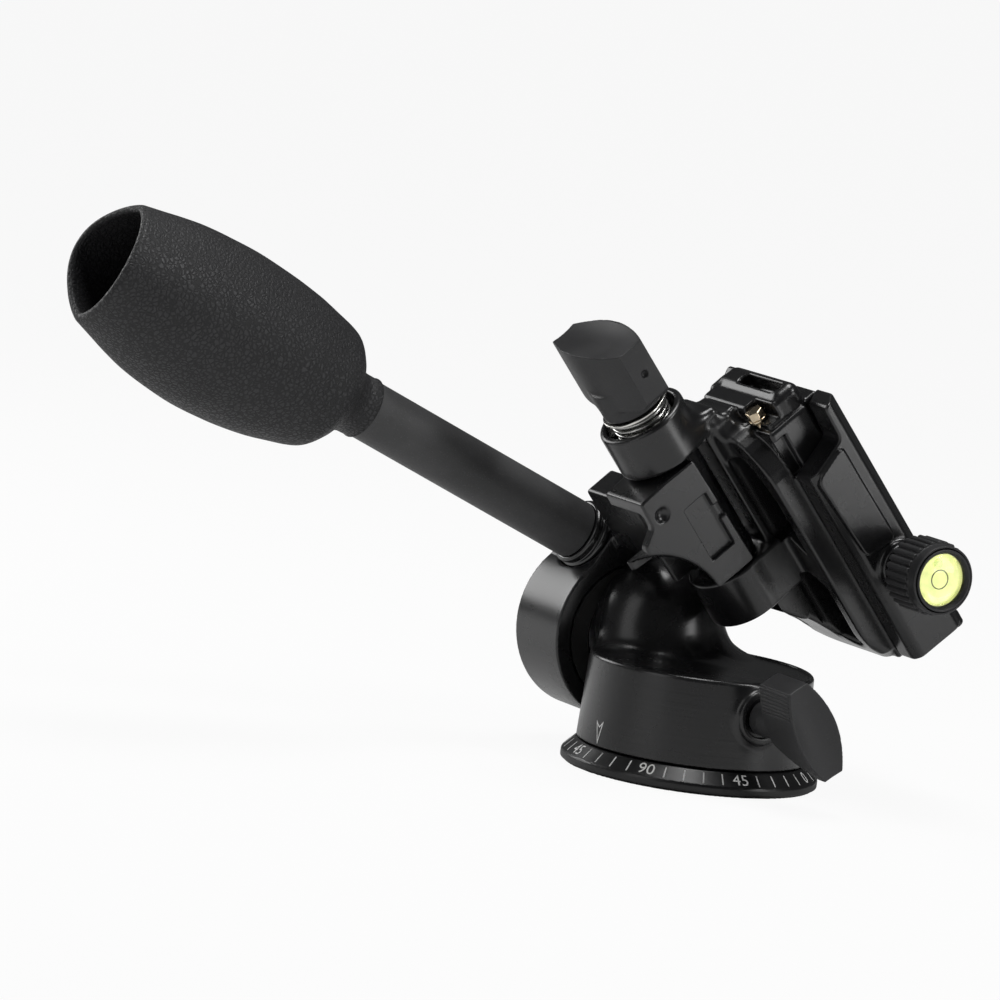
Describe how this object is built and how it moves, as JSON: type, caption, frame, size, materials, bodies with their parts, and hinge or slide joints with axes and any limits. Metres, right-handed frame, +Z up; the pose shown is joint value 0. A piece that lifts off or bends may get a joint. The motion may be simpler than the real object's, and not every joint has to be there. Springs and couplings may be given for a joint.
{
  "type": "fluid video head",
  "caption": "Small pan and tilt head with a drum tilt joint, a hollow-grip handle, a rolling quick-release clamp and a bubble level in the clamp's knob.",
  "frame": {"origin": "centre of the base's underside, on the pan axis", "axes": "+Z up along the pan axis, +X to the head's front, +Y to its left, as the head stands in the picture"},
  "size_m": [0.2204, 0.1018, 0.1238],
  "materials": {
    "black_casting": "gloss black paint over an aluminium casting",
    "black_plastic": "matte dark-grey plastic",
    "bright_steel": "zinc-plated steel",
    "turned_alloy": "turned alloy",
    "brass": "plain brass",
    "bearing": "pale bearing plastic",
    "gloss_collar": "gloss black plastic",
    "powder_coat": "fine powder coat",
    "grip": "black plastic with leather grain",
    "vial_white": "pale plastic",
    "vial_fluid": "yellow-green level fluid",
    "vial_bubble": "air bubble",
    "lens": "clear lens"
  },
  "bodies": {
    "base": {"base_plate": "black_casting", "thread_insert": "bright_steel", "pan_hub": "turned_alloy", "hub_screw_1": "bright_steel", "hub_screw_2": "bright_steel", "hub_screw_3": "bright_steel", "lower_pan_washer": "bearing", "upper_pan_washer": "bearing"},
    "pan": {"pan_housing": "black_casting", "pan_retainer_ring": "turned_alloy", "retainer_screw_1": "bright_steel", "retainer_screw_2": "bright_steel", "retainer_screw_3": "bright_steel", "tilt_axle": "bright_steel", "tilt_hub": "turned_alloy", "tilt_nut": "bright_steel"},
    "pan_shoe": {"pan_brake_shoe": "brass"},
    "pan_knob": {"pan_lock_knob": "black_plastic", "pan_lock_screw": "bright_steel"},
    "tilt": {"tilt_bracket": "black_casting", "drum_cover": "black_casting", "cover_screw_1": "bright_steel", "cover_screw_2": "bright_steel", "cover_screw_3": "bright_steel", "tilt_washer_near": "bearing", "tilt_washer_far": "bright_steel", "tilt_spring_washer": "bright_steel", "roll_bush_rear": "brass", "roll_bush_front": "brass"},
    "wedge": {"tilt_brake_wedge": "brass"},
    "handle": {"handle_collar": "gloss_collar", "handle_lock_rod": "bright_steel", "handle_tube": "powder_coat", "handle_grip": "grip"},
    "clamp": {"clamp_bed": "black_casting", "roll_axle": "bright_steel", "roll_nut": "bright_steel", "roll_washer_inner": "bright_steel", "roll_washer_outer": "bright_steel", "roll_spring": "bright_steel", "stop_screw": "brass", "guide_pin_rear": "bright_steel", "guide_pin_front": "bright_steel"},
    "roll_knob": {"roll_lock_knob": "black_plastic"},
    "jaw": {"clamp_jaw": "black_casting", "clamp_washer": "bright_steel"},
    "knob": {"clamp_knob": "black_plastic", "clamp_screw": "bright_steel", "knob_bezel": "black_plastic", "vial_cup": "vial_white", "level_fluid": "vial_fluid", "level_bubble": "vial_bubble", "level_lens": "lens"}
  },
  "joints": [
    {"name": "pan_turn", "type": "hinge", "parent": "base", "child": "pan", "pos_m": [0, 0, 0.0192], "axis": [0, 0, 1], "continuous": true},
    {"name": "pan_shoe_slide", "type": "slide", "parent": "pan", "child": "pan_shoe", "axis": [0, 1, 0], "range_m": [0, 0.00025]},
    {"name": "pan_lock_turn", "type": "hinge", "parent": "pan", "child": "pan_knob", "pos_m": [0.0004, -0.0286, 0.0192], "axis": [0, -1, 0], "range_deg": [-180, 0]},
    {"name": "tilt_turn", "type": "hinge", "parent": "pan", "child": "tilt", "pos_m": [-0.0055, 0, 0.0288], "axis": [0, 1, 0], "range_deg": [-68.8, 16.2]},
    {"name": "tilt_wedge_slide", "type": "slide", "parent": "tilt", "child": "wedge", "axis": [-0.9217, 0, 0.388], "range_m": [-0.00025, 0]},
    {"name": "handle_twist", "type": "hinge", "parent": "tilt", "child": "handle", "pos_m": [0.00082, 0.03375, 0.04382], "axis": [-0.9217, 0, 0.388], "range_deg": [-180, 0]},
    {"name": "roll_turn", "type": "hinge", "parent": "tilt", "child": "clamp", "pos_m": [0.0094, -0.004, 0.04184], "axis": [0.6587, 0, -0.7524], "range_deg": [-30, 30]},
    {"name": "roll_lock_turn", "type": "hinge", "parent": "clamp", "child": "roll_knob", "pos_m": [0.0094, -0.004, 0.04184], "axis": [-0.6587, 0, 0.7524], "range_deg": [-180, 0]},
    {"name": "jaw_slide", "type": "slide", "parent": "clamp", "child": "jaw", "axis": [0, -1, 0], "range_m": [0, 0.004]},
    {"name": "clamp_knob_turn", "type": "hinge", "parent": "jaw", "child": "knob", "pos_m": [0.0315, -0.004, 0.0572], "axis": [0, -1, 0], "range_deg": [0, 1440]}
  ],
  "couplings": [
    {"joint": "pan_lock_turn", "follows": "pan_shoe_slide", "rad_per_m": -12566},
    {"joint": "handle_twist", "follows": "tilt_wedge_slide", "rad_per_m": 12566},
    {"joint": "clamp_knob_turn", "follows": "jaw_slide", "rad_per_m": 6283}
  ]
}
